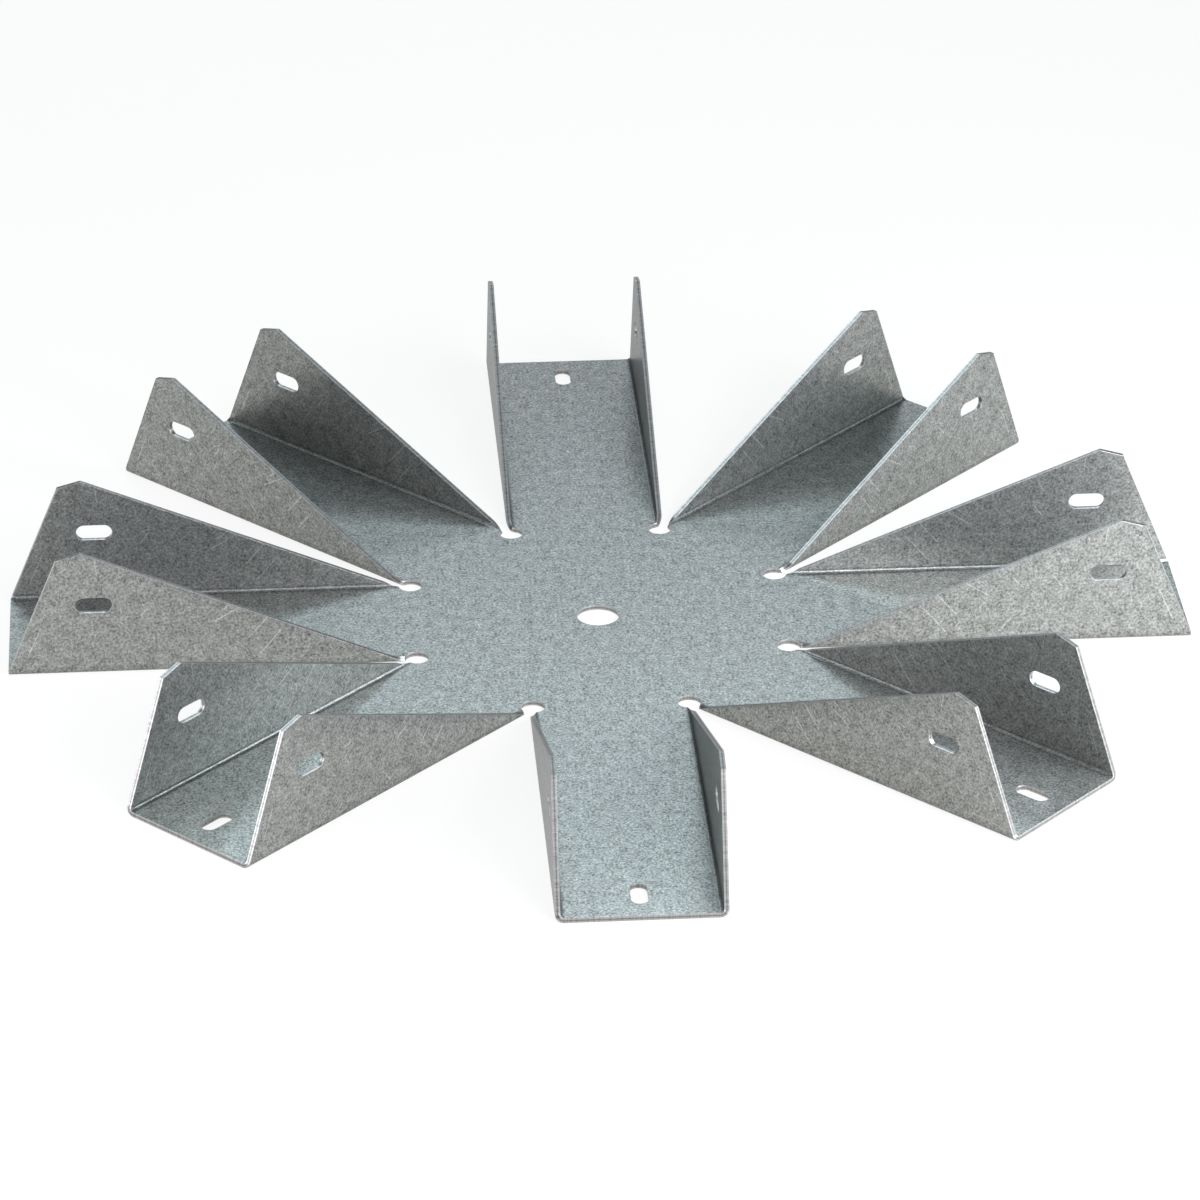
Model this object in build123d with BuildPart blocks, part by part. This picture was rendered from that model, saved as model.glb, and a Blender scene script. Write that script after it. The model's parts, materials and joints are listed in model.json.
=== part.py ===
from build123d import *
import os
from math import cos, pi, radians, sin, tan

# Gazebo tie: one galvanised sheet, slit and folded into eight open channels round a flat hub.
# Each channel is an arm. Its flat floor is the seat, its two upright walls are the flanges.
# The origin is the centre of the hub on its underside, and one arm points along +X.

os.makedirs("parts", exist_ok=True)

# The sheet and its blank, in millimetres
arm_count = 8
sheet = 1.31              # thickness, 18 gauge galvanised
reach = 154.3             # centre of the hub to the square end of a seat
slit_width = 3.0          # gap cut between the flanges of neighbouring arms
relief_diameter = 6.2     # round hole where two fold lines and a slit meet

# The folds
inside_width = 39.7       # clear width of a channel, for timber that is 1 1/2 in thick
fold_radius = 1.0         # inside radius of a fold
neutral_share = 0.44      # depth of the unstretched layer in a fold, as a share of the sheet

# The clipped upper corner of a flange
clip_top = 5.1            # length taken off the rising edge
clip_end = 4.0            # length taken off the leaning end

# The holes
hub_hole_diameter = 11.1
slot_length = 9.5
slot_width = 4.3
seat_slot_setback = 10.5      # seat end to the middle of the seat's slot
flange_slot_setback = 22.7    # seat end to the middle of a flange's slot
flange_slot_height = 20.25    # underside of the sheet to the middle of a flange's slot

# Sizes that follow from those above
half_pitch = 180 / arm_count
fold_outside = fold_radius + sheet
seat_half = inside_width / 2 - fold_radius
flange_outside = inside_width / 2 + sheet
fold_length = pi / 2 * (fold_radius + neutral_share * sheet)
fold_middle = seat_half + fold_length / 2
relief_reach = fold_middle / sin(radians(half_pitch))
relief_x = relief_reach * cos(radians(half_pitch))

# Where the slit's side crosses the top of the fold, the rising edge of the flange begins
slit_side = slit_width / 2 / cos(radians(half_pitch))
rise_x = (seat_half + fold_length + slit_side) / tan(radians(half_pitch))

# The blank turns by half a pitch at the middle of the fold, so the flange's end leans inwards
lean_x = reach - fold_length / 2 * tan(radians(half_pitch))
rise_length = (lean_x - rise_x) * cos(radians(half_pitch))

# One flange with its fold, on the +Y side of the arm that points along +X
with BuildPart() as flange:
    with BuildSketch(Plane.YZ.offset(relief_x)):
        with BuildLine():
            outer_fold = CenterArc((seat_half, fold_outside), fold_outside, -90, 90)
            inner_fold = CenterArc((seat_half, fold_outside), fold_radius, -90, 90)
            outer_wall = Line(outer_fold @ 1, (flange_outside, rise_length))
            inner_wall = Line(inner_fold @ 1, (inside_width / 2, rise_length))
            Line(outer_fold @ 0, inner_fold @ 0)
            Line(outer_wall @ 1, inner_wall @ 1)
        make_face()
    extrude(amount=reach - relief_x)

    # Side view that trims the tall wall: the slit's side rises outwards, and the end stands square to it
    with BuildSketch(Plane.XZ) as side_view:
        with BuildLine():
            rising_edge = PolarLine((rise_x, fold_outside), rise_length, half_pitch)
            Polyline(
                rising_edge @ 1,
                (lean_x, fold_outside),
                (reach, sheet),
                (reach, 0),
                (relief_x, 0),
                (relief_x, fold_outside),
                rising_edge @ 0,
            )
        make_face()
        peak = side_view.vertices().sort_by(Axis.Y)[-1]
        rising_side = side_view.edges().sort_by_distance(rising_edge @ 0.5)[0]
        chamfer(peak, length=clip_top, length2=clip_end, reference=rising_side)
    extrude(amount=flange_outside, both=True, mode=Mode.INTERSECT)

    # Fastener slot, its length along the arm
    with BuildSketch(Plane.XZ):
        with Locations((reach - flange_slot_setback, flange_slot_height)):
            SlotOverall(slot_length, slot_width)
    extrude(amount=flange_outside, both=True, mode=Mode.SUBTRACT)

    mirror(about=Plane.XZ)

# The whole tie
with BuildPart() as gazebo_tie:
    # Hub and seats, one flat star
    with BuildSketch():
        RegularPolygon(relief_reach, arm_count, rotation=half_pitch)
        with PolarLocations(0, arm_count):
            Rectangle(reach, 2 * seat_half, align=(Align.MIN, Align.CENTER))
    extrude(amount=sheet)

    with PolarLocations(0, arm_count):
        add(flange.part)

    # Relief holes and slits, cut up through the folds
    with BuildSketch():
        with PolarLocations(relief_reach, arm_count, start_angle=half_pitch):
            Circle(relief_diameter / 2)
            Rectangle(reach, slit_width, align=(Align.MIN, Align.CENTER))
    extrude(amount=fold_outside, mode=Mode.SUBTRACT)

    # Fastener slot near the end of each seat, its length along the arm
    with BuildSketch():
        with PolarLocations(reach - seat_slot_setback, arm_count):
            SlotOverall(slot_length, slot_width)
    extrude(amount=sheet, mode=Mode.SUBTRACT)

    Hole(hub_hole_diameter / 2)

gazebo_tie.part.label = "gazebo_tie"
export_step(gazebo_tie.part, "parts/gazebo_tie.step")
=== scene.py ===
"""Looks of the gazebo tie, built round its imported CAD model.

The tie is one galvanised sheet, so its mesh is made the way the real one is: as a flat blank, which is
then folded. A point of the blank is placed by how far it is along an arm from the centre, and how far
across from that arm's middle line.
"""

import json
from math import asin, cos, pi, radians, sin, tan
from types import SimpleNamespace

import bpy
import numpy as np
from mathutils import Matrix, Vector


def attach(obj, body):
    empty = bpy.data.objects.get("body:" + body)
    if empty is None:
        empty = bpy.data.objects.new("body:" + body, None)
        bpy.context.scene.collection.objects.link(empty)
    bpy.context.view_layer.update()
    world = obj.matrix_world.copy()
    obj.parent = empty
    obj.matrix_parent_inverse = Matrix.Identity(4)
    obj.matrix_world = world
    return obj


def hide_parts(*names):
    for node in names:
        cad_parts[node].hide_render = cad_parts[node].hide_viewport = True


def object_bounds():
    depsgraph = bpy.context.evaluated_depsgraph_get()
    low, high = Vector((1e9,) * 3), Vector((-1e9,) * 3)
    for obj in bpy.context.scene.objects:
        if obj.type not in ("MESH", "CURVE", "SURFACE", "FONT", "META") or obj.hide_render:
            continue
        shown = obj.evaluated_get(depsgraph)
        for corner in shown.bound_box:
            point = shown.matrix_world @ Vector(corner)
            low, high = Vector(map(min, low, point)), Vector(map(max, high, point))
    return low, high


bl_info = {
    "name": "Gazebo tie",
    "version": (1, 0, 0),
    "blender": (4, 5, 0),
    "location": "3D View > Sidebar > Gazebo tie",
    "description": "Makes a folded sheet-steel gazebo tie, its galvanised finish and a plain studio",
    "category": "Add Mesh",
}

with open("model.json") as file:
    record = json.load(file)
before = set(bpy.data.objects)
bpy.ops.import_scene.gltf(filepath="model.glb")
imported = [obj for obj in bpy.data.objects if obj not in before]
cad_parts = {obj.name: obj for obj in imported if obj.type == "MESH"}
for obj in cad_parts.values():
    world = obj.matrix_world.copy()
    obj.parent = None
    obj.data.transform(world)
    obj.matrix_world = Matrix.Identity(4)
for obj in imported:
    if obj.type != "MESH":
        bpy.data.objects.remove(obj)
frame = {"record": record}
cad_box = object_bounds()

MM = 0.001
NODE = "gazebo_tie"
BODY = "root"
CAD_REACH = cad_box[1].x
CAD_MOUNTS = {mount["name"]: mount for mount in frame["record"]["mounts"]}
CAD_HUB_RADIUS = CAD_MOUNTS["hub_hole"]["dims"]["r_mm"] * MM

# How finely the blank is divided
ACROSS_SEAT = 8       # cells from an arm's middle line to its fold line
ALONG_HUB = 12        # cells from the centre hole to a relief hole
ROUND_RELIEF = 14     # cells round the part of a relief hole that a seat touches
ROUND_FOLD = 10       # cells round a fold
WEB_HALF = 6          # cells along half a side of a flange's triangular part
ALONG_END = 18        # cells along the outer part of a fold, below a flange's slot
UP_END = 18           # cells up the leaning end of a flange
ROUND_CLIP = 3        # cells along a clipped corner
DOWN_RISE = 14        # cells down the rising edge, from the clip to the triangular part
SLOT_RINGS = 6        # cells from a slot's edge to the edge of what surrounds it
WEB_SHARE = 0.62      # share of a fold's length that lies below the flange's triangular part
SAME_POINT = 1e-6     # metres; points of the blank nearer than this are one
TINY = 1e-9           # stands in for 0 where a number divides

ROUNDING_STEPS = 2    # cells round a broken edge
BROKEN_FROM = 35      # degrees; an edge that turns by more than this is broken

# How the finish and the painted shade change across a fold, by the distance from its middle as a share of
# its length
FOLD_SIDE = 0.5       # where the fold's side is
FOLD_END = 0.45       # where the fold's roughness starts to change into the faces'
FACE_START = 0.55     # where it has done so
# The fold's lines are painted shade: each fold is darker at its sides, less dark in its middle, and darkest
# inside the channel
LIGHT_END = 0.1       # where the lighter stripe in the middle starts to get darker
DARK_START = 0.42     # where the dark line is full
DARK_END = 0.46       # where it starts to fade
DARK_FADED = 0.66     # where it has faded
DARK_IN_MIDDLE = 0.5  # how strong it still is in the middle, as a share
DARK_OUTSIDE = 0.4    # how strong it is on the outside of the channel, as a share of the inside

NOISE_ROUGHNESS = 0.9    # how strong the finer octaves of the zinc's noise are
STROKE_LENGTH = 2 * MM   # size of the crystals' strokes along their run
STROKE_WIDTH = MM / 3    # and across it
STROKE_START = 0.6       # level of the noise at which a stroke starts to show
STROKE_FULL = 0.75       # and at which it is full
DRAG_CONTRAST = 0.5      # how much lighter and darker the drag lines of a sheared edge are
BREAK_HALF = 0.06        # half the width of the dark line in a sheared edge, as a share of the sheet
BREAK_FADED = 0.2        # distance from the sheet's middle at which that line has faded, as a share of it

# The scratches on every flange, read off the photograph in millimetres. Each goes from a distance along the
# arm and a height to another such pair, and the last number is how strong it is.
SCRATCHES = (
    (145.5, 14.0, 149.0, 6.0, 0.9),
    (131.0, 33.0, 130.5, 29.2, 0.8),
    (117.5, 19.5, 119.5, 16.8, 1.0),
    (117.3, 20.7, 119.2, 20.0, 0.8),
    (118.1, 27.2, 120.1, 23.5, 0.5),
    (106.4, 19.9, 109.5, 16.5, 0.5),
    (96.5, 19.5, 99.0, 17.4, 0.8),
    (94.5, 18.3, 100.7, 14.5, 1.0),
    (87.0, 15.3, 92.0, 9.5, 1.0),
    (83.5, 11.5, 89.3, 4.5, 0.9),
    (106.3, 7.6, 103.3, 4.0, 0.7),
    (140.6, 29.8, 138.5, 31.0, 0.7),
)

# The lamps: a name, the azimuth from +X and the elevation in degrees, the distance, width and height in
# metres, the power in watts, and whether the light is cool
SOFTBOXES = (
    ("back", 90, 40, 1.7, 1.0, 0.4, 6.5, True),
    ("back_low", 90, 20, 1.7, 0.9, 0.25, 1.6, False),
    ("back_high", 90, 55, 1.8, 1.0, 0.5, 3.0, True),
    ("back_high_left", 121, 52, 1.8, 0.8, 0.6, 5.0, True),
    ("left_high", 172, 42, 1.8, 0.7, 0.5, 1.5, True),
    ("front", 270, 32, 2.2, 2.4, 1.4, 17.0, False),
    ("front_right", 286, 28, 2.2, 0.6, 0.5, 5.0, False),
    ("right_low", 0, 22, 1.7, 0.9, 0.4, 3.6, True),
    ("fill_front", 300, 33, 0.455, 0.26, 0.2, 1.6, False),
    ("fill_front_right", 320, 10, 0.42, 0.24, 0.18, 1.45, False),
    ("fill_right", 342, 40, 0.32, 0.12, 0.1, 0.5, True),
    ("fill_right_low", 335, 22, 0.3, 0.12, 0.1, 0.38, False),
    ("fill_left", 210, 12, 0.45, 0.36, 0.26, 1.7, False),
)


class TieSizes(bpy.types.PropertyGroup):
    """The sizes of the sheet, its blank and its folds."""

    sheet: bpy.props.FloatProperty(
        name="Sheet", description="Thickness of the sheet", default=1.31 * MM, unit="LENGTH", precision=5
    )
    reach: bpy.props.FloatProperty(
        name="Reach", description="Centre of the hub to the end of a seat",
        default=CAD_REACH, unit="LENGTH", precision=5,
    )
    slit_width: bpy.props.FloatProperty(
        name="Slit width", description="Gap cut between neighbouring flanges",
        default=3 * MM, unit="LENGTH", precision=5,
    )
    relief_diameter: bpy.props.FloatProperty(
        name="Relief hole", description="Hole where two folds and a slit meet",
        default=6.2 * MM, unit="LENGTH", precision=5,
    )
    inside_width: bpy.props.FloatProperty(
        name="Inside width", description="Clear width between an arm's flanges",
        default=39.7 * MM, unit="LENGTH", precision=5,
    )
    fold_radius: bpy.props.FloatProperty(
        name="Fold radius", description="Inside radius of a fold",
        default=1 * MM, unit="LENGTH", precision=5,
    )
    neutral_share: bpy.props.FloatProperty(
        name="Neutral layer", description="Depth of a fold's unstretched layer, as a share of the sheet",
        default=0.44, subtype="FACTOR",
    )
    clip_top: bpy.props.FloatProperty(
        name="Clip, top", description="Length clipped off a flange's rising edge",
        default=5.1 * MM, unit="LENGTH", precision=5,
    )
    clip_end: bpy.props.FloatProperty(
        name="Clip, end", description="Length clipped off a flange's leaning end",
        default=4 * MM, unit="LENGTH", precision=5,
    )
    hub_hole_radius: bpy.props.FloatProperty(
        name="Centre hole", description="Radius of the hole in the hub",
        default=CAD_HUB_RADIUS, unit="LENGTH", precision=5,
    )
    slot_length: bpy.props.FloatProperty(
        name="Slot length", description="Length of a fastener slot",
        default=9.5 * MM, unit="LENGTH", precision=5,
    )
    slot_width: bpy.props.FloatProperty(
        name="Slot width", description="Width of a fastener slot",
        default=4.3 * MM, unit="LENGTH", precision=5,
    )
    seat_slot_setback: bpy.props.FloatProperty(
        name="Seat slot", description="End of a seat to the middle of its slot",
        default=10.5 * MM, unit="LENGTH", precision=5,
    )
    flange_slot_setback: bpy.props.FloatProperty(
        name="Flange slot", description="End of a seat to the middle of a flange's slot",
        default=22.7 * MM, unit="LENGTH", precision=5,
    )
    flange_slot_height: bpy.props.FloatProperty(
        name="Flange slot height", description="Underside of the sheet to the middle of a flange's slot",
        default=20.25 * MM, unit="LENGTH", precision=5,
    )
    edge_rounding: bpy.props.FloatProperty(
        name="Edge rounding", description="How far the cut edges are broken",
        default=0.09 * MM, unit="LENGTH", precision=5,
    )
    arm_count: bpy.props.IntProperty(name="Arms", description="Channels round the hub", default=8, min=3)


class TieFinish(bpy.types.PropertyGroup):
    """The colours and grain of the galvanised sheet, and the painted shade at its folds."""

    zinc_colour: bpy.props.FloatVectorProperty(
        name="Zinc", description="Colour of the galvanised faces",
        default=(0.234, 0.238, 0.221), size=3, subtype="COLOR",
    )
    zinc_shine: bpy.props.FloatProperty(
        name="Shine", description="How metallic, rather than matt, the galvanised faces are",
        default=0.7, subtype="FACTOR",
    )
    zinc_grazing: bpy.props.FloatProperty(
        name="Grazing", description="Brightness of a reflection that only grazes the faces",
        default=0.5, subtype="FACTOR",
    )
    zinc_roughness: bpy.props.FloatProperty(
        name="Roughness", description="Roughness of the galvanised faces", default=0.3, subtype="FACTOR"
    )
    grain: bpy.props.FloatProperty(
        name="Grain", description="Size of the zinc's fine speckle",
        default=0.68 * MM, unit="LENGTH", precision=5,
    )
    grain_contrast: bpy.props.FloatProperty(
        name="Grain contrast",
        description="How much lighter and darker the speckle is on the hub and the seats",
        default=1.15, subtype="FACTOR",
    )
    grain_on_flanges: bpy.props.FloatProperty(
        name="Grain on flanges", description="How much of that contrast the speckle has on the flanges",
        default=0.75, subtype="FACTOR",
    )
    cloud: bpy.props.FloatProperty(
        name="Clouds", description="Size of the zinc's soft patches",
        default=3.2 * MM, unit="LENGTH", precision=5,
    )
    cloud_contrast: bpy.props.FloatProperty(
        name="Cloud contrast", description="How much lighter and darker the patches are",
        default=0.55, subtype="FACTOR",
    )
    crystal: bpy.props.FloatProperty(
        name="Crystals", description="Size of the zinc's crystals",
        default=5 * MM, unit="LENGTH", precision=5,
    )
    crystal_contrast: bpy.props.FloatProperty(
        name="Crystal contrast", description="How light the fine strokes in a crystal are",
        default=0.25, subtype="FACTOR",
    )
    scratch_width: bpy.props.FloatProperty(
        name="Scratch width", description="Width of a scratch",
        default=0.35 * MM, unit="LENGTH", precision=5,
    )
    scratch_contrast: bpy.props.FloatProperty(
        name="Scratch contrast", description="How much lighter a scratch is", default=1.1, min=0, max=4
    )
    fold_roughness: bpy.props.FloatProperty(
        name="Fold roughness", description="Roughness of the stretched zinc in a fold",
        default=0.38, subtype="FACTOR",
    )
    # Painted shade: how much the sides of a fold are darkened
    fold_line: bpy.props.FloatProperty(
        name="Fold lines", description="How much darker the two sides of a fold are",
        default=0.3, subtype="FACTOR",
    )
    cut_colour: bpy.props.FloatVectorProperty(
        name="Cut edge", description="Colour of the sheared edges",
        default=(0.31, 0.303, 0.285), size=3, subtype="COLOR",
    )
    cut_roughness: bpy.props.FloatProperty(
        name="Cut roughness", description="Roughness of the sheared edges", default=0.32, subtype="FACTOR"
    )
    break_line: bpy.props.FloatProperty(
        name="Break line", description="How much darker the middle of a sheared edge is",
        default=0.5, subtype="FACTOR",
    )


class TieStudio(bpy.types.PropertyGroup):
    """The floor, the light and the camera."""

    floor_half: bpy.props.FloatProperty(
        name="Floor size", description="Half the side of the square floor", default=20.0, unit="LENGTH"
    )
    floor_colour: bpy.props.FloatVectorProperty(
        name="Floor colour", description="Colour of the floor",
        default=(0.95, 0.93, 0.86), size=3, subtype="COLOR",
    )
    floor_white: bpy.props.FloatProperty(
        name="White share", description="Share of the floor that is plain white, with no shadow",
        default=0.86, subtype="FACTOR",
    )
    lamp_level: bpy.props.FloatProperty(
        name="Lamp level", description="Share of their full power that the lamps have",
        default=1.0, min=0, max=4,
    )
    cool_light: bpy.props.FloatVectorProperty(
        name="Cool light", description="Colour of the cool lamps",
        default=(0.76, 0.91, 1.0), size=3, subtype="COLOR",
    )
    plain_light: bpy.props.FloatVectorProperty(
        name="Plain light", description="Colour of the other lamps",
        default=(0.895, 0.91, 1.0), size=3, subtype="COLOR",
    )
    sky_level: bpy.props.FloatProperty(
        name="Surroundings", description="Brightness of the light from all round",
        default=0.01, subtype="FACTOR",
    )
    azimuth: bpy.props.FloatProperty(
        name="Azimuth", description="Camera's turn round the tie", default=radians(-3.983), unit="ROTATION"
    )
    elevation: bpy.props.FloatProperty(
        name="Elevation", description="Camera's height above the horizon",
        default=radians(27.813), unit="ROTATION",
    )
    distance: bpy.props.FloatProperty(
        name="Distance", description="Camera to the middle of the tie",
        default=1.61595, unit="LENGTH", precision=5,
    )
    middle_height: bpy.props.FloatProperty(
        name="Middle", description="Height of the point that the camera stands round",
        default=10 * MM, unit="LENGTH",
    )
    aim: bpy.props.FloatVectorProperty(
        name="Aim", description="The point in the middle of the picture",
        default=(0.41 * MM, -1.75 * MM, 6.74 * MM), size=3, subtype="XYZ", unit="LENGTH", precision=5,
    )
    lens: bpy.props.FloatProperty(
        name="Lens", description="Focal length in millimetres on a 36 mm sensor", default=184.683
    )


def blank_of(sizes):
    """The sizes of the flat blank that follow from those a user sets.

    A fold uses up a quarter turn at the neutral layer. The relief hole stands on the slit's middle line,
    where it crosses the middle of the fold. The rising edge of a flange is the slit's side, and its end
    stands square to it.
    """
    blank = SimpleNamespace(
        sheet=sizes.sheet,
        reach=sizes.reach,
        arm_count=sizes.arm_count,
        hub_radius=sizes.hub_hole_radius,
        slot_length=sizes.slot_length,
        slot_width=sizes.slot_width,
        half_pitch=pi / sizes.arm_count,
        fold_outside=sizes.fold_radius + sizes.sheet,
        seat_half=sizes.inside_width / 2 - sizes.fold_radius,
        fold_length=pi / 2 * (sizes.fold_radius + sizes.neutral_share * sizes.sheet),
        relief_radius=sizes.relief_diameter / 2,
    )
    rising = np.array((cos(blank.half_pitch), sin(blank.half_pitch)))
    leaning = np.array((sin(blank.half_pitch), -cos(blank.half_pitch)))
    blank.slope = tan(blank.half_pitch)
    blank.fold_middle = blank.seat_half + blank.fold_length / 2
    blank.fold_end = blank.seat_half + blank.fold_length
    blank.slit_side = sizes.slit_width / 2 / cos(blank.half_pitch)
    blank.relief = (blank.fold_middle / blank.slope, blank.fold_middle)
    blank.relief_inner = blank.relief - blank.relief_radius * rising
    blank.relief_at_seat = 2 * pi - asin((blank.fold_middle - blank.seat_half) / blank.relief_radius)
    blank.fold_start = blank.relief[0] + blank.relief_radius * cos(blank.relief_at_seat)
    blank.rise = (blank.fold_end + blank.slit_side) / blank.slope
    blank.lean = blank.reach - blank.fold_length / 2 * blank.slope
    blank.web_end = blank.rise + WEB_SHARE * (blank.lean - blank.rise)
    blank.web_foot = (blank.web_end, blank.fold_end)
    blank.web_top = (blank.web_end, blank.web_end * blank.slope - blank.slit_side)

    rise_length = (blank.lean - blank.rise) * cos(blank.half_pitch)
    peak = (blank.rise, blank.fold_end) + rise_length * rising
    blank.clip_on_rise = peak - sizes.clip_top * rising
    blank.clip_on_end = peak + sizes.clip_end * leaning

    blank.seat_slot = (blank.reach - sizes.seat_slot_setback, 0.0)
    blank.flange_slot = (
        blank.reach - sizes.flange_slot_setback,
        blank.fold_end + sizes.flange_slot_height - blank.fold_outside,
    )
    return blank


def line(start, end, cells):
    """Evenly spaced points on the straight line from start to end."""
    share = np.linspace(0, 1, cells + 1)[:, None]
    return (1 - share) * np.asarray(start) + share * np.asarray(end)


def arc(centre, radius, first, last, cells):
    """Points on a circle, at evenly spaced angles from first to last."""
    angle = np.linspace(first, last, cells + 1)
    return np.asarray(centre) + radius * np.stack((np.cos(angle), np.sin(angle)), axis=1)


def joined(*stretches):
    """Stretches of an outline, end to end. The point where one ends and the next starts is kept once."""
    return np.concatenate([stretches[0]] + [stretch[1:] for stretch in stretches[1:]])


def ruled(near, far, cells):
    """A grid whose rows go from the outline near to the outline far in even steps along straight lines."""
    share = np.linspace(0, 1, cells + 1)[:, None, None]
    return (1 - share) * near + share * far


def slot_edge(centre, blank, outline):
    """Where the edge of a slot is met on the way from its middle to each point of an outline.

    A slot is a straight middle run with a half circle at each end. A ray meets the straight side at the
    slot's half width over the sine of its angle. If that is past the run's end, it meets the end's circle
    instead.
    """
    away = outline - np.asarray(centre)
    away /= np.linalg.norm(away, axis=1, keepdims=True)
    along, across = np.abs(away).T
    radius = blank.slot_width / 2
    run = (blank.slot_length - blank.slot_width) / 2
    side = radius / np.maximum(across, TINY)
    end = run * along + np.sqrt(np.maximum(radius**2 - (run * across) ** 2, 0))
    return centre + away * np.where(side * along <= run, side, end)[:, None]


def fold_share(blank):
    """How far along the top of the fold each column of cells stands, as a share of its length."""
    below_web = line((blank.rise,), (blank.web_end,), 2 * WEB_HALF)
    past_web = line((blank.web_end,), (blank.lean,), ALONG_END)
    top = joined(below_web, past_web)[:, 0]
    return (top - blank.rise) / (blank.lean - blank.rise)


def seat_line(blank):
    """The fold line at the side of a seat, from the relief hole to the seat's end."""
    along = blank.fold_start + fold_share(blank) * (blank.reach - blank.fold_start)
    return np.stack((along, np.full_like(along, blank.seat_half)), axis=1)


def hub_sector(blank):
    """The hub from the centre hole to the relief hole: straight lines from an arc to an upright line."""
    hole = arc((0, 0), blank.hub_radius, 0, blank.half_pitch, ACROSS_SEAT)
    outer = line((blank.relief_inner[0], 0), blank.relief_inner, ACROSS_SEAT)
    return ruled(hole, outer, ALONG_HUB)


def seat_strip(blank):
    """Half a seat: straight lines across it, from its middle line to the relief hole and the fold line."""
    first = pi + blank.half_pitch
    relief = arc(blank.relief, blank.relief_radius, first, blank.relief_at_seat, ROUND_RELIEF)
    far = joined(relief, seat_line(blank)[: 2 * WEB_HALF + 1])
    near = far * (1, 0)
    return ruled(near, far, ACROSS_SEAT)


def seat_end(blank):
    """The outer end of half a seat: straight lines from the slot's edge to the three sides round it."""
    fold_line = seat_line(blank)[2 * WEB_HALF :]
    side = line(fold_line[0] * (1, 0), fold_line[0], ACROSS_SEAT)
    end = line((blank.reach, blank.seat_half), (blank.reach, 0), ACROSS_SEAT)
    outline = joined(side, fold_line, end)
    return ruled(slot_edge(blank.seat_slot, blank, outline), outline, SLOT_RINGS)


def fold_strip(blank):
    """The fold: even rows from the seat's fold line to the flange's.

    A row starts on the relief hole's circle, or on the slit's side once that stands further out. It ends
    at the arm's end, which leans inwards by half a pitch from the middle of the fold on.
    """
    across = np.linspace(blank.seat_half, blank.fold_end, ROUND_FOLD + 1)
    circle = blank.relief[0] + np.sqrt(blank.relief_radius**2 - (across - blank.fold_middle) ** 2)
    start = np.maximum(circle, (across + blank.slit_side) / blank.slope)
    start[0] = blank.fold_start
    end = blank.reach - np.maximum(across - blank.fold_middle, 0) * blank.slope
    along = start[:, None] + (end - start)[:, None] * fold_share(blank)
    return np.stack((along, np.broadcast_to(across[:, None], along.shape)), axis=2)


def flange_web(blank):
    """The triangular part of a flange, as three four-sided grids that meet at its middle."""
    corners = np.array([(blank.rise, blank.fold_end), blank.web_foot, blank.web_top])
    middle = corners.mean(axis=0)
    grids = []
    for corner, after, before in zip(corners, np.roll(corners, -1, axis=0), np.roll(corners, 1, axis=0)):
        near = line(corner, (corner + after) / 2, WEB_HALF)
        far = line((corner + before) / 2, middle, WEB_HALF)
        grids.append(ruled(near, far, WEB_HALF))
    return grids


def flange_end(blank):
    """The outer part of a flange: straight lines from its slot's edge to the outline round it."""
    outline = joined(
        line(blank.web_foot, (blank.lean, blank.fold_end), ALONG_END),
        line((blank.lean, blank.fold_end), blank.clip_on_end, UP_END),
        line(blank.clip_on_end, blank.clip_on_rise, ROUND_CLIP),
        line(blank.clip_on_rise, blank.web_top, DOWN_RISE),
        line(blank.web_top, blank.web_foot, 2 * WEB_HALF),
    )
    return ruled(slot_edge(blank.flange_slot, blank, outline), outline, SLOT_RINGS)


def folded(points, depth, blank):
    """Where points of an arm's blank stand in the arm's frame once folded, at a depth above the underside.

    Up to the fold line a point stays level. In the fold it turns about an axis above the fold line, at
    the height of the fold's outside radius, by a quarter turn times its share of the fold. Past the fold
    it climbs straight up.
    """
    along, across = points.T
    past = np.abs(across) - blank.seat_half
    turn = np.clip(past / blank.fold_length, 0, 1) * pi / 2
    radius = blank.fold_outside - depth
    out = np.minimum(np.abs(across), blank.seat_half) + radius * np.sin(turn)
    height = blank.fold_outside - radius * np.cos(turn) + np.maximum(past - blank.fold_length, 0)
    return np.stack((along, np.sign(across) * out, height), axis=1)


def turned(points, angle):
    """Points turned about the centre of the hub."""
    x, y = points[:, 0], points[:, 1]
    turned_x = cos(angle) * x - sin(angle) * y
    turned_y = sin(angle) * x + cos(angle) * y
    return np.concatenate((np.stack((turned_x, turned_y), axis=1), points[:, 2:]), axis=1)


def cells_of(grid):
    """The corner numbers of a grid's cells, counter-clockwise in the blank."""
    rows, columns = grid.shape[:2]
    number = np.arange(rows * columns).reshape(rows, columns)
    corners = (number[:-1, :-1], number[:-1, 1:], number[1:, 1:], number[1:, :-1])
    cells = np.stack(corners, axis=2).reshape(-1, 4)
    x, y = grid.reshape(-1, 2)[cells].transpose(2, 0, 1)
    area = (x * np.roll(y, -1, axis=1) - y * np.roll(x, -1, axis=1)).sum()
    return cells if area > 0 else cells[:, ::-1]


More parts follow.
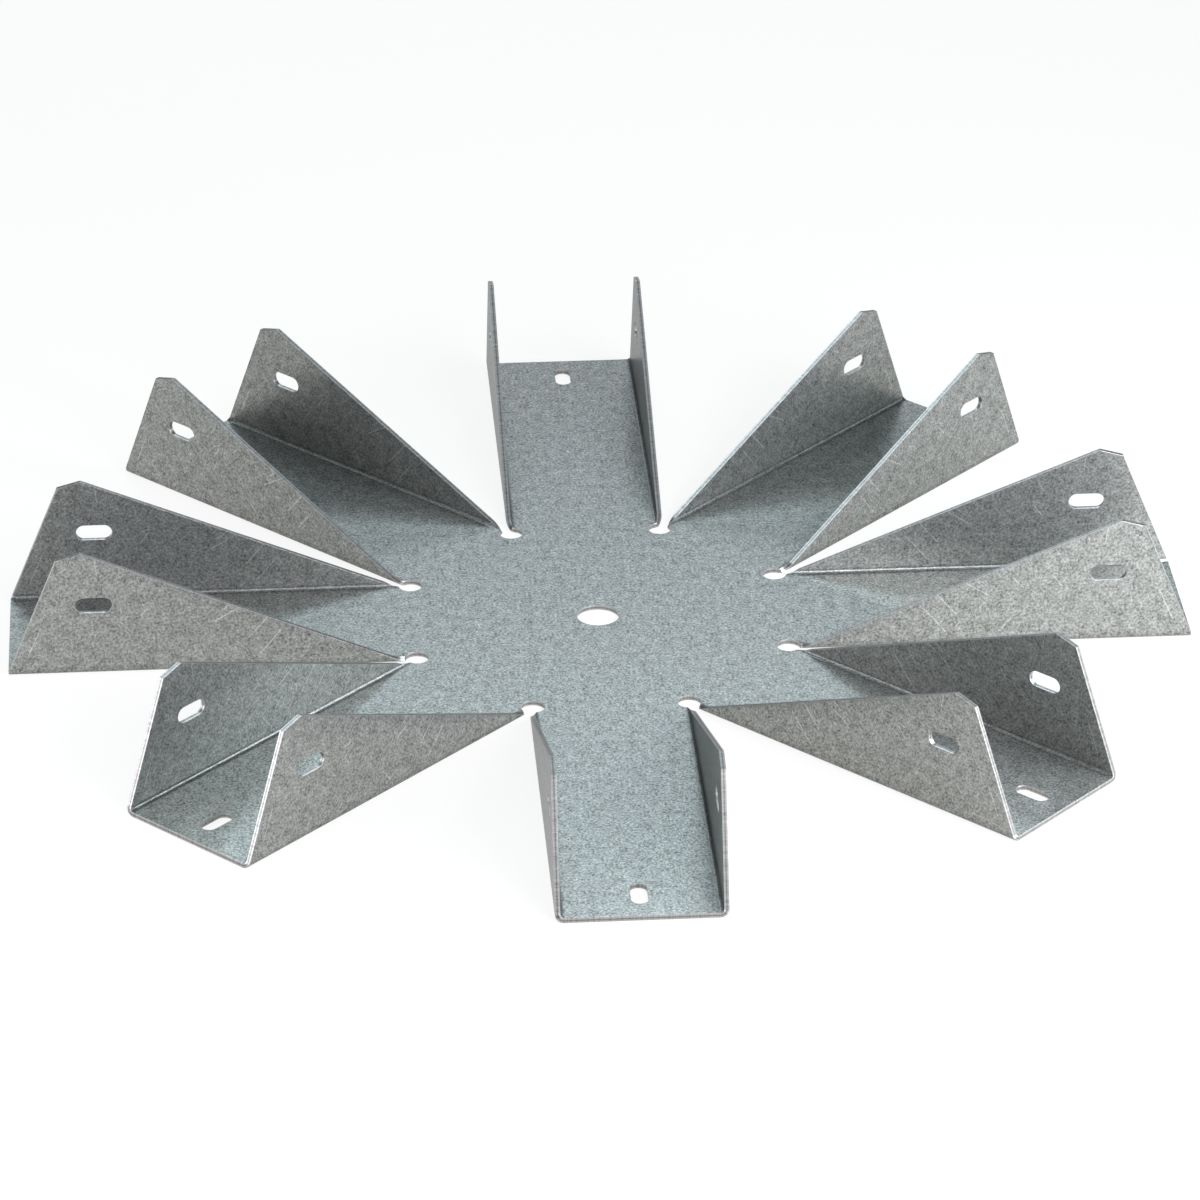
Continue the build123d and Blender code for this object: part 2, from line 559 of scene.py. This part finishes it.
def whole_blank(blank):
    """Both halves of every arm, merged.

    Gives the blank's points, their places on the two skins, the cells, and where each cell's corners are
    along and across their own arm.
    """
    grids = [
        hub_sector(blank),
        seat_strip(blank),
        seat_end(blank),
        fold_strip(blank),
        *flange_web(blank),
        flange_end(blank),
    ]
    flat, under, upper, cells, own = [], [], [], [], []
    count = 0
    for grid in grids:
        for arm in range(blank.arm_count):
            for mirror in (1, -1):
                side = grid * (1, mirror)
                points = side.reshape(-1, 2)
                angle = 2 * blank.half_pitch * arm
                flat.append(turned(points, angle))
                under.append(turned(folded(points, 0, blank), angle))
                upper.append(turned(folded(points, blank.sheet, blank), angle))
                cells.append(cells_of(side) + count)
                own.append(points)
                count += len(points)
    flat, under, upper, cells, own = (np.concatenate(block) for block in (flat, under, upper, cells, own))
    keys = np.rint(flat / SAME_POINT).astype(np.int64)
    _, first, merged = np.unique(keys, axis=0, return_index=True, return_inverse=True)
    return flat[first], under[first], upper[first], merged.ravel()[cells], own[cells]


def open_edges(cells):
    """The edges that only one cell has, each with that cell on its left."""
    edges = np.stack((cells, np.roll(cells, -1, axis=1)), axis=2).reshape(-1, 2)
    _, first, uses = np.unique(np.sort(edges, axis=1), axis=0, return_index=True, return_counts=True)
    return edges[first[uses == 1]]


def sheet_mesh(blank):
    """The closed sheet: the blank's cells on both skins, and a wall of cells along every cut edge."""
    flat, under, upper, cells, own = whole_blank(blank)
    skin = len(flat)
    rim = open_edges(cells)
    wall = np.concatenate((rim, rim[:, ::-1] + skin), axis=1)
    faces = np.concatenate((cells[:, ::-1], cells + skin, wall))

    mesh = bpy.data.meshes.new(NODE + "_sheet")
    mesh.from_pydata(np.concatenate((under, upper)), [], faces)
    mesh.polygons.foreach_set("material_index", np.repeat((0, 1), (2 * len(cells), len(wall))))
    mesh.shade_smooth()

    # The map lays every face where it is in the flat blank, as a share of the square that the blank fits in
    blank_map = mesh.uv_layers.new(name="flat_blank")
    square = flat / (2 * blank.reach) + 0.5
    blank_map.uv.foreach_set("vector", np.tile(square, (2, 1))[faces.ravel()].astype(np.float32).ravel())

    # The second map holds, in metres, how far along and across its own arm each corner of the skins is
    own_map = mesh.uv_layers.new(name="own_arm")
    corners = np.concatenate((own[:, ::-1], own, np.zeros((len(wall), 4, 2))))
    own_map.uv.foreach_set("vector", np.abs(corners).astype(np.float32).ravel())

    # How deep in the sheet a point is, from 0 on the underside to 1 on the upper side
    depth = mesh.attributes.new("depth", "FLOAT", "POINT")
    depth.data.foreach_set("value", np.repeat((0.0, 1.0), skin).astype(np.float32))
    mesh.validate()
    return mesh


def node(tree, kind, inputs, **settings):
    """Adds a shader node. Each input is named or numbered, and gets a value or a link."""
    made = tree.nodes.new("ShaderNode" + kind)
    for name, value in settings.items():
        setattr(made, name, value)
    for name, value in inputs.items():
        if isinstance(value, bpy.types.NodeSocket):
            tree.links.new(value, made.inputs[name])
        else:
            made.inputs[name].default_value = value
    return made


def new_material(name):
    """A material with an empty Principled shader, and its tree and shader."""
    material = bpy.data.materials.new(name)
    material.use_nodes = True
    return material, material.node_tree, material.node_tree.nodes["Principled BSDF"]


def ranged(tree, value, low, high, to_low, to_high):
    """A value stretched from one range to another and held within it."""
    return node(tree, "MapRange", {0: value, 1: low, 2: high, 3: to_low, 4: to_high}).outputs[0]


def math_result(tree, operation, *values, **settings):
    """The result of a Math node."""
    return node(tree, "Math", dict(enumerate(values)), operation=operation, **settings).outputs[0]


def vector_result(tree, operation, *values, result="Vector"):
    """The result of a Vector Math node, which is a vector or, where result is "Value", a number."""
    return node(tree, "VectorMath", dict(enumerate(values)), operation=operation).outputs[result]


def chained(tree, operation, values):
    """Values taken together, one after another, by the same operation."""
    total = values[0]
    for value in values[1:]:
        total = math_result(tree, operation, total, value)
    return total


def sum_of(tree, *values):
    """Values added up."""
    return chained(tree, "ADD", values)


def product_of(tree, *values):
    """Values multiplied together."""
    return chained(tree, "MULTIPLY", values)


def tinted(tree, colour, value):
    """A colour made lighter or darker by a value."""
    return vector_result(tree, "MULTIPLY", (*colour,), value)


def blank_place(tree, blank):
    """Where a face is in the flat blank, in metres from the corner of the square round it."""
    blank_map = node(tree, "UVMap", {}, uv_map="flat_blank").outputs[0]
    side = 2 * blank.reach
    return vector_result(tree, "MULTIPLY", blank_map, (side, side, 0))


def own_place(tree):
    """How far along and across its own arm a face is, in metres."""
    return node(tree, "UVMap", {}, uv_map="own_arm").outputs[0]


def sheet_depth(tree):
    """How deep in the sheet a face is, from 0 on the underside to 1 on the upper side."""
    return node(tree, "Attribute", {}, attribute_name="depth").outputs["Fac"]


def speckle(tree, place, size, contrast, detail):
    """Noise of a given size about 0, from which a tone gets lighter and darker."""
    inputs = {"Vector": place, "Scale": 1 / size, "Detail": detail, "Roughness": NOISE_ROUGHNESS}
    noise = node(tree, "TexNoise", inputs, noise_dimensions="2D").outputs[0]
    return math_result(tree, "MULTIPLY_ADD", noise, 2 * contrast, -contrast)


def crystal_strokes(tree, place, finish):
    """Fine light strokes that run one way in each crystal of the zinc, and another way in the next."""
    cells = {"Vector": place, "Scale": 1 / finish.crystal}
    crystal = node(tree, "TexVoronoi", cells, voronoi_dimensions="2D").outputs["Color"]
    angle = math_result(tree, "MULTIPLY", crystal, 2 * pi)
    swung = node(tree, "VectorRotate", {"Vector": place, "Angle": angle}, rotation_type="Z_AXIS").outputs[0]
    stretched = vector_result(tree, "MULTIPLY", swung, (1 / STROKE_LENGTH, 1 / STROKE_WIDTH, 1))
    inputs = {"Vector": stretched, "Scale": 1.0, "Detail": 0.0}
    noise = node(tree, "TexNoise", inputs, noise_dimensions="2D").outputs[0]
    return ranged(tree, noise, STROKE_START, STROKE_FULL, 0, finish.crystal_contrast)


def scratch_group(finish):
    """A node group that gives a straight scratch's strength, and 0 from half a scratch's width away on.

    The nearest point of the scratch lies at the place's share along it, held between 0 and 1. That share
    is the dot product of the way to the place and the way along the scratch, over the scratch's own
    length squared.
    """
    tree = bpy.data.node_groups.new("scratch", "ShaderNodeTree")
    for name in ("Place", "Start", "Along"):
        tree.interface.new_socket(name, in_out="INPUT", socket_type="NodeSocketVector")
    tree.interface.new_socket("Strength", in_out="INPUT", socket_type="NodeSocketFloat")
    tree.interface.new_socket("Mark", in_out="OUTPUT", socket_type="NodeSocketFloat")
    given = tree.nodes.new("NodeGroupInput").outputs
    away = vector_result(tree, "SUBTRACT", given["Place"], given["Start"])
    along = vector_result(tree, "DOT_PRODUCT", away, given["Along"], result="Value")
    squared = vector_result(tree, "DOT_PRODUCT", given["Along"], given["Along"], result="Value")
    share = math_result(tree, "DIVIDE", along, squared, use_clamp=True)
    nearest = vector_result(tree, "MULTIPLY", given["Along"], share)
    gap = vector_result(tree, "DISTANCE", away, nearest, result="Value")
    mark = ranged(tree, gap, 0, finish.scratch_width / 2, given["Strength"], 0)
    tree.links.new(mark, tree.nodes.new("NodeGroupOutput").inputs["Mark"])
    return tree


def scratches(tree, finish, blank):
    """The scratches, the same on every flange. A height there is as far past the fold in the blank."""
    place = own_place(tree)
    group = scratch_group(finish)
    marks = 0.0
    for start_u, start_z, end_u, end_z, strength in SCRATCHES:
        start = Vector((start_u * MM, start_z * MM + blank.fold_end - blank.fold_outside, 0))
        along = Vector((end_u - start_u, end_z - start_z, 0)) * MM
        one = tree.nodes.new("ShaderNodeGroup")
        one.node_tree = group
        tree.links.new(place, one.inputs["Place"])
        one.inputs["Start"].default_value = start
        one.inputs["Along"].default_value = along
        one.inputs["Strength"].default_value = strength
        marks = math_result(tree, "MAXIMUM", marks, one.outputs[0])
    return math_result(tree, "MULTIPLY", marks, finish.scratch_contrast)


def past_fold(tree, blank):
    """How far past the middle of the fold a face is, as a share of the fold's length."""
    across = node(tree, "SeparateXYZ", {0: own_place(tree)}).outputs["Y"]
    past = math_result(tree, "SUBTRACT", across, blank.fold_middle)
    return math_result(tree, "DIVIDE", past, blank.fold_length)


def fold_painted_shade(tree, off_fold, finish):
    """The painted shade of a fold: a dark line at each side and a lighter stripe between, strongest in the
    channel, where shade falls in the crease.
    """
    towards_side = ranged(tree, off_fold, LIGHT_END, DARK_START, DARK_IN_MIDDLE, 1)
    painted_dark_line = ranged(tree, off_fold, DARK_END, DARK_FADED, -finish.fold_line, 0)
    # The painted shade is stronger on the inside of the channel, where the crease lies in shade
    inside = ranged(tree, sheet_depth(tree), 0, 1, DARK_OUTSIDE, 1)
    return sum_of(tree, 1.0, product_of(tree, towards_side, painted_dark_line, inside))


def galvanised_zinc(finish, blank):
    """Galvanised faces: speckle on softer patches, the crystals' strokes, scratches, and painted shade in
    lines at a fold.
    """
    material, tree, shader = new_material("galvanised_zinc")
    place = blank_place(tree, blank)
    past = past_fold(tree, blank)
    off_fold = math_result(tree, "ABSOLUTE", past)
    share = ranged(tree, past, -FOLD_SIDE, FOLD_SIDE, 1, finish.grain_on_flanges)
    fine = speckle(tree, place, finish.grain, finish.grain_contrast, detail=1.0)
    grain = product_of(tree, fine, share)
    clouds = speckle(tree, place, finish.cloud, finish.cloud_contrast, detail=2.0)
    strokes = crystal_strokes(tree, place, finish)
    flat_tone = sum_of(tree, 1.0, grain, clouds, strokes, scratches(tree, finish, blank))
    tone = product_of(tree, flat_tone, fold_painted_shade(tree, off_fold, finish))
    roughness = ranged(tree, off_fold, FOLD_END, FACE_START, finish.fold_roughness, finish.zinc_roughness)
    tree.links.new(tinted(tree, finish.zinc_colour, tone), shader.inputs["Base Color"])
    tree.links.new(roughness, shader.inputs["Roughness"])
    grazing = finish.zinc_grazing
    shader.inputs["Specular Tint"].default_value = (grazing, grazing, grazing, 1)
    shader.inputs["Metallic"].default_value = finish.zinc_shine
    return material


def sheared_edge(finish, blank):
    """Cut edges: bare steel with the drag lines of the shear and a darker line where the sheet broke."""
    material, tree, shader = new_material("sheared_edge")
    drag = speckle(tree, blank_place(tree, blank), finish.grain, DRAG_CONTRAST, detail=2.0)
    off_middle = math_result(tree, "ABSOLUTE", math_result(tree, "SUBTRACT", sheet_depth(tree), 0.5))
    broken = ranged(tree, off_middle, BREAK_HALF, BREAK_FADED, -finish.break_line, 0)
    tone = sum_of(tree, 1.0, drag, broken)
    tree.links.new(tinted(tree, finish.cut_colour, tone), shader.inputs["Base Color"])
    shader.inputs["Metallic"].default_value = finish.zinc_shine
    shader.inputs["Roughness"].default_value = finish.cut_roughness
    return material


def link(name, data):
    """Adds an object that holds data to the scene, at the origin."""
    made = bpy.data.objects.new(name, data)
    bpy.context.scene.collection.objects.link(made)
    return made


class MakeSheet(bpy.types.Operator):
    """Makes the folded sheet, with galvanised faces and sheared edges, in place of the plain CAD solid"""

    bl_idname = "gazebo_tie.make_sheet"
    bl_label = "Make the folded sheet"

    def execute(self, context):
        sizes = context.scene.tie_sizes
        finish = context.scene.tie_finish
        blank = blank_of(sizes)
        sheet = link(NODE + "_sheet", sheet_mesh(blank))
        sheet.data.materials.append(galvanised_zinc(finish, blank))
        sheet.data.materials.append(sheared_edge(finish, blank))

        rounding = sheet.modifiers.new("broken_edges", "BEVEL")
        rounding.width = sizes.edge_rounding
        rounding.segments = ROUNDING_STEPS
        rounding.limit_method = "ANGLE"
        rounding.angle_limit = radians(BROKEN_FROM)
        rounding.material = 1
        rounding.use_clamp_overlap = False
        sheet.modifiers.new("flat_faces", "WEIGHTED_NORMAL")

        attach(sheet, BODY)
        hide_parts(NODE)
        return {"FINISHED"}


def floor_mesh(studio):
    """A flat square that the tie rests on."""
    half = studio.floor_half
    corners = [(-half, -half, 0), (half, -half, 0), (half, half, 0), (-half, half, 0)]
    mesh = bpy.data.meshes.new("floor")
    mesh.from_pydata(corners, [], [(0, 1, 2, 3)])
    return mesh


def pale_floor(studio):
    """A pale matt floor that keeps the tie's shadow, faintly.

    A share of what the camera, metal or glass sees of it is plain white.
    """
    material, tree, shader = new_material("pale_floor")
    shader.inputs["Base Color"].default_value = (*studio.floor_colour, 1)
    shader.inputs["Roughness"].default_value = 1.0
    shader.inputs["Specular IOR Level"].default_value = 0.0
    ray = node(tree, "LightPath", {}).outputs
    seen = sum_of(tree, ray["Is Camera Ray"], ray["Is Glossy Ray"], ray["Is Transmission Ray"])
    share = ranged(tree, seen, 0, 1, 0, studio.floor_white)
    white = node(tree, "Emission", {"Color": (1, 1, 1, 1), "Strength": 1.0}).outputs[0]
    both = node(tree, "MixShader", {0: share, 1: shader.outputs[0], 2: white}).outputs[0]
    tree.links.new(both, tree.nodes["Material Output"].inputs["Surface"])
    return material


def surroundings(studio):
    """Faint even light from all round."""
    world = bpy.data.worlds.new("surroundings")
    world.use_nodes = True
    background = world.node_tree.nodes["Background"]
    background.inputs["Color"].default_value = (studio.sky_level, studio.sky_level, studio.sky_level, 1)
    return world


def softbox(studio, name, azimuth, elevation, distance, width, height, watts, cool):
    """Adds a soft lamp that is turned to the tie, and that the camera doesn't see."""
    turn, rise = radians(azimuth), radians(elevation)
    lamp = link(name, bpy.data.lights.new(name, "AREA"))
    lamp.data.shape = "RECTANGLE"
    lamp.data.size = width
    lamp.data.size_y = height
    lamp.data.energy = watts * studio.lamp_level
    lamp.data.color = studio.cool_light if cool else studio.plain_light
    lamp.location = distance * Vector((cos(turn) * cos(rise), sin(turn) * cos(rise), sin(rise)))
    lamp.rotation_euler = (-lamp.location).to_track_quat("-Z", "Y").to_euler()
    lamp.visible_camera = False


def camera_of(studio):
    """The camera: back from the middle of the tie at the photograph's angle, and turned to its aim."""
    turn, rise = studio.azimuth, studio.elevation
    back = Vector((sin(turn) * cos(rise), -cos(turn) * cos(rise), sin(rise)))
    camera = link("camera", bpy.data.cameras.new("camera"))
    camera.data.lens = studio.lens
    camera.data.sensor_width = 36.0
    camera.location = Vector((0, 0, studio.middle_height)) + studio.distance * back
    camera.rotation_euler = (Vector(studio.aim) - camera.location).to_track_quat("-Z", "Y").to_euler()
    return camera


class SetStage(bpy.types.Operator):
    """Sets a pale floor, soft light and the photograph's camera round the tie"""

    bl_idname = "gazebo_tie.set_stage"
    bl_label = "Set the stage"

    def execute(self, context):
        scene = context.scene
        studio = scene.tie_studio
        floor = link("floor", floor_mesh(studio))
        floor.data.materials.append(pale_floor(studio))
        scene.world = surroundings(studio)
        for lamp in SOFTBOXES:
            softbox(studio, *lamp)
        scene.camera = camera_of(studio)
        scene.view_settings.view_transform = "Standard"
        return {"FINISHED"}


class TiePanel(bpy.types.Panel):
    """The tie's sizes, finish and stage, with the steps that make them."""

    bl_idname = "VIEW3D_PT_gazebo_tie"
    bl_label = "Gazebo tie"
    bl_space_type = "VIEW_3D"
    bl_region_type = "UI"
    bl_category = "Gazebo tie"

    def draw(self, context):
        scene = context.scene
        for group, step in (
            (scene.tie_sizes, None),
            (scene.tie_finish, MakeSheet.bl_idname),
            (scene.tie_studio, SetStage.bl_idname),
        ):
            box = self.layout.box()
            for name in group.__annotations__:
                box.prop(group, name)
            if step:
                box.operator(step)


CLASSES = (TieSizes, TieFinish, TieStudio, MakeSheet, SetStage, TiePanel)


def register():
    """Adds the classes and the scene's properties."""
    for each in CLASSES:
        bpy.utils.register_class(each)
    bpy.types.Scene.tie_sizes = bpy.props.PointerProperty(type=TieSizes)
    bpy.types.Scene.tie_finish = bpy.props.PointerProperty(type=TieFinish)
    bpy.types.Scene.tie_studio = bpy.props.PointerProperty(type=TieStudio)


def unregister():
    """Takes the scene's properties and the classes away again."""
    del bpy.types.Scene.tie_studio
    del bpy.types.Scene.tie_finish
    del bpy.types.Scene.tie_sizes
    for each in reversed(CLASSES):
        bpy.utils.unregister_class(each)


def main():
    """Makes the tie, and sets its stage."""
    register()
    bpy.ops.gazebo_tie.make_sheet()
    bpy.ops.gazebo_tie.set_stage()


if __name__ == "__main__":
    main()
